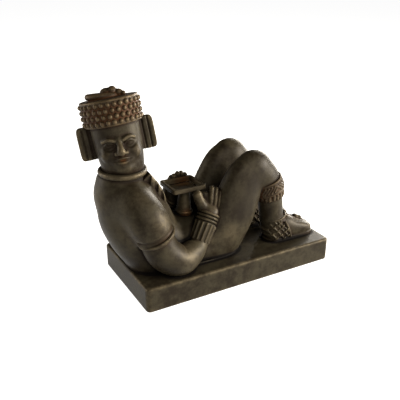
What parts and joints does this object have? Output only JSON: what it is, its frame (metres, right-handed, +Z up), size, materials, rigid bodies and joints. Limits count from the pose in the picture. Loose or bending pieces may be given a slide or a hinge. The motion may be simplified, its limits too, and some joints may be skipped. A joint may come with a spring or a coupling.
{
  "type": "reclining figure ornament",
  "caption": "Reclining figure on a rectangular plinth, head turned to one side, knees drawn up, holding a hollow offering tray over its belly.",
  "frame": {"origin": "centre of the plinth's flat underside", "axes": "+X along the plinth's long side towards the figure's feet, +Y to the figure's left (it looks along -Y), +Z up"},
  "size_m": [0.2076, 0.0906, 0.1671],
  "materials": {
    "cast": "dark bronze-brown patina, semi-gloss, rubbed lighter on edges"
  },
  "bodies": {
    "root": {"chac_mool": "cast"}
  },
  "joints": []
}
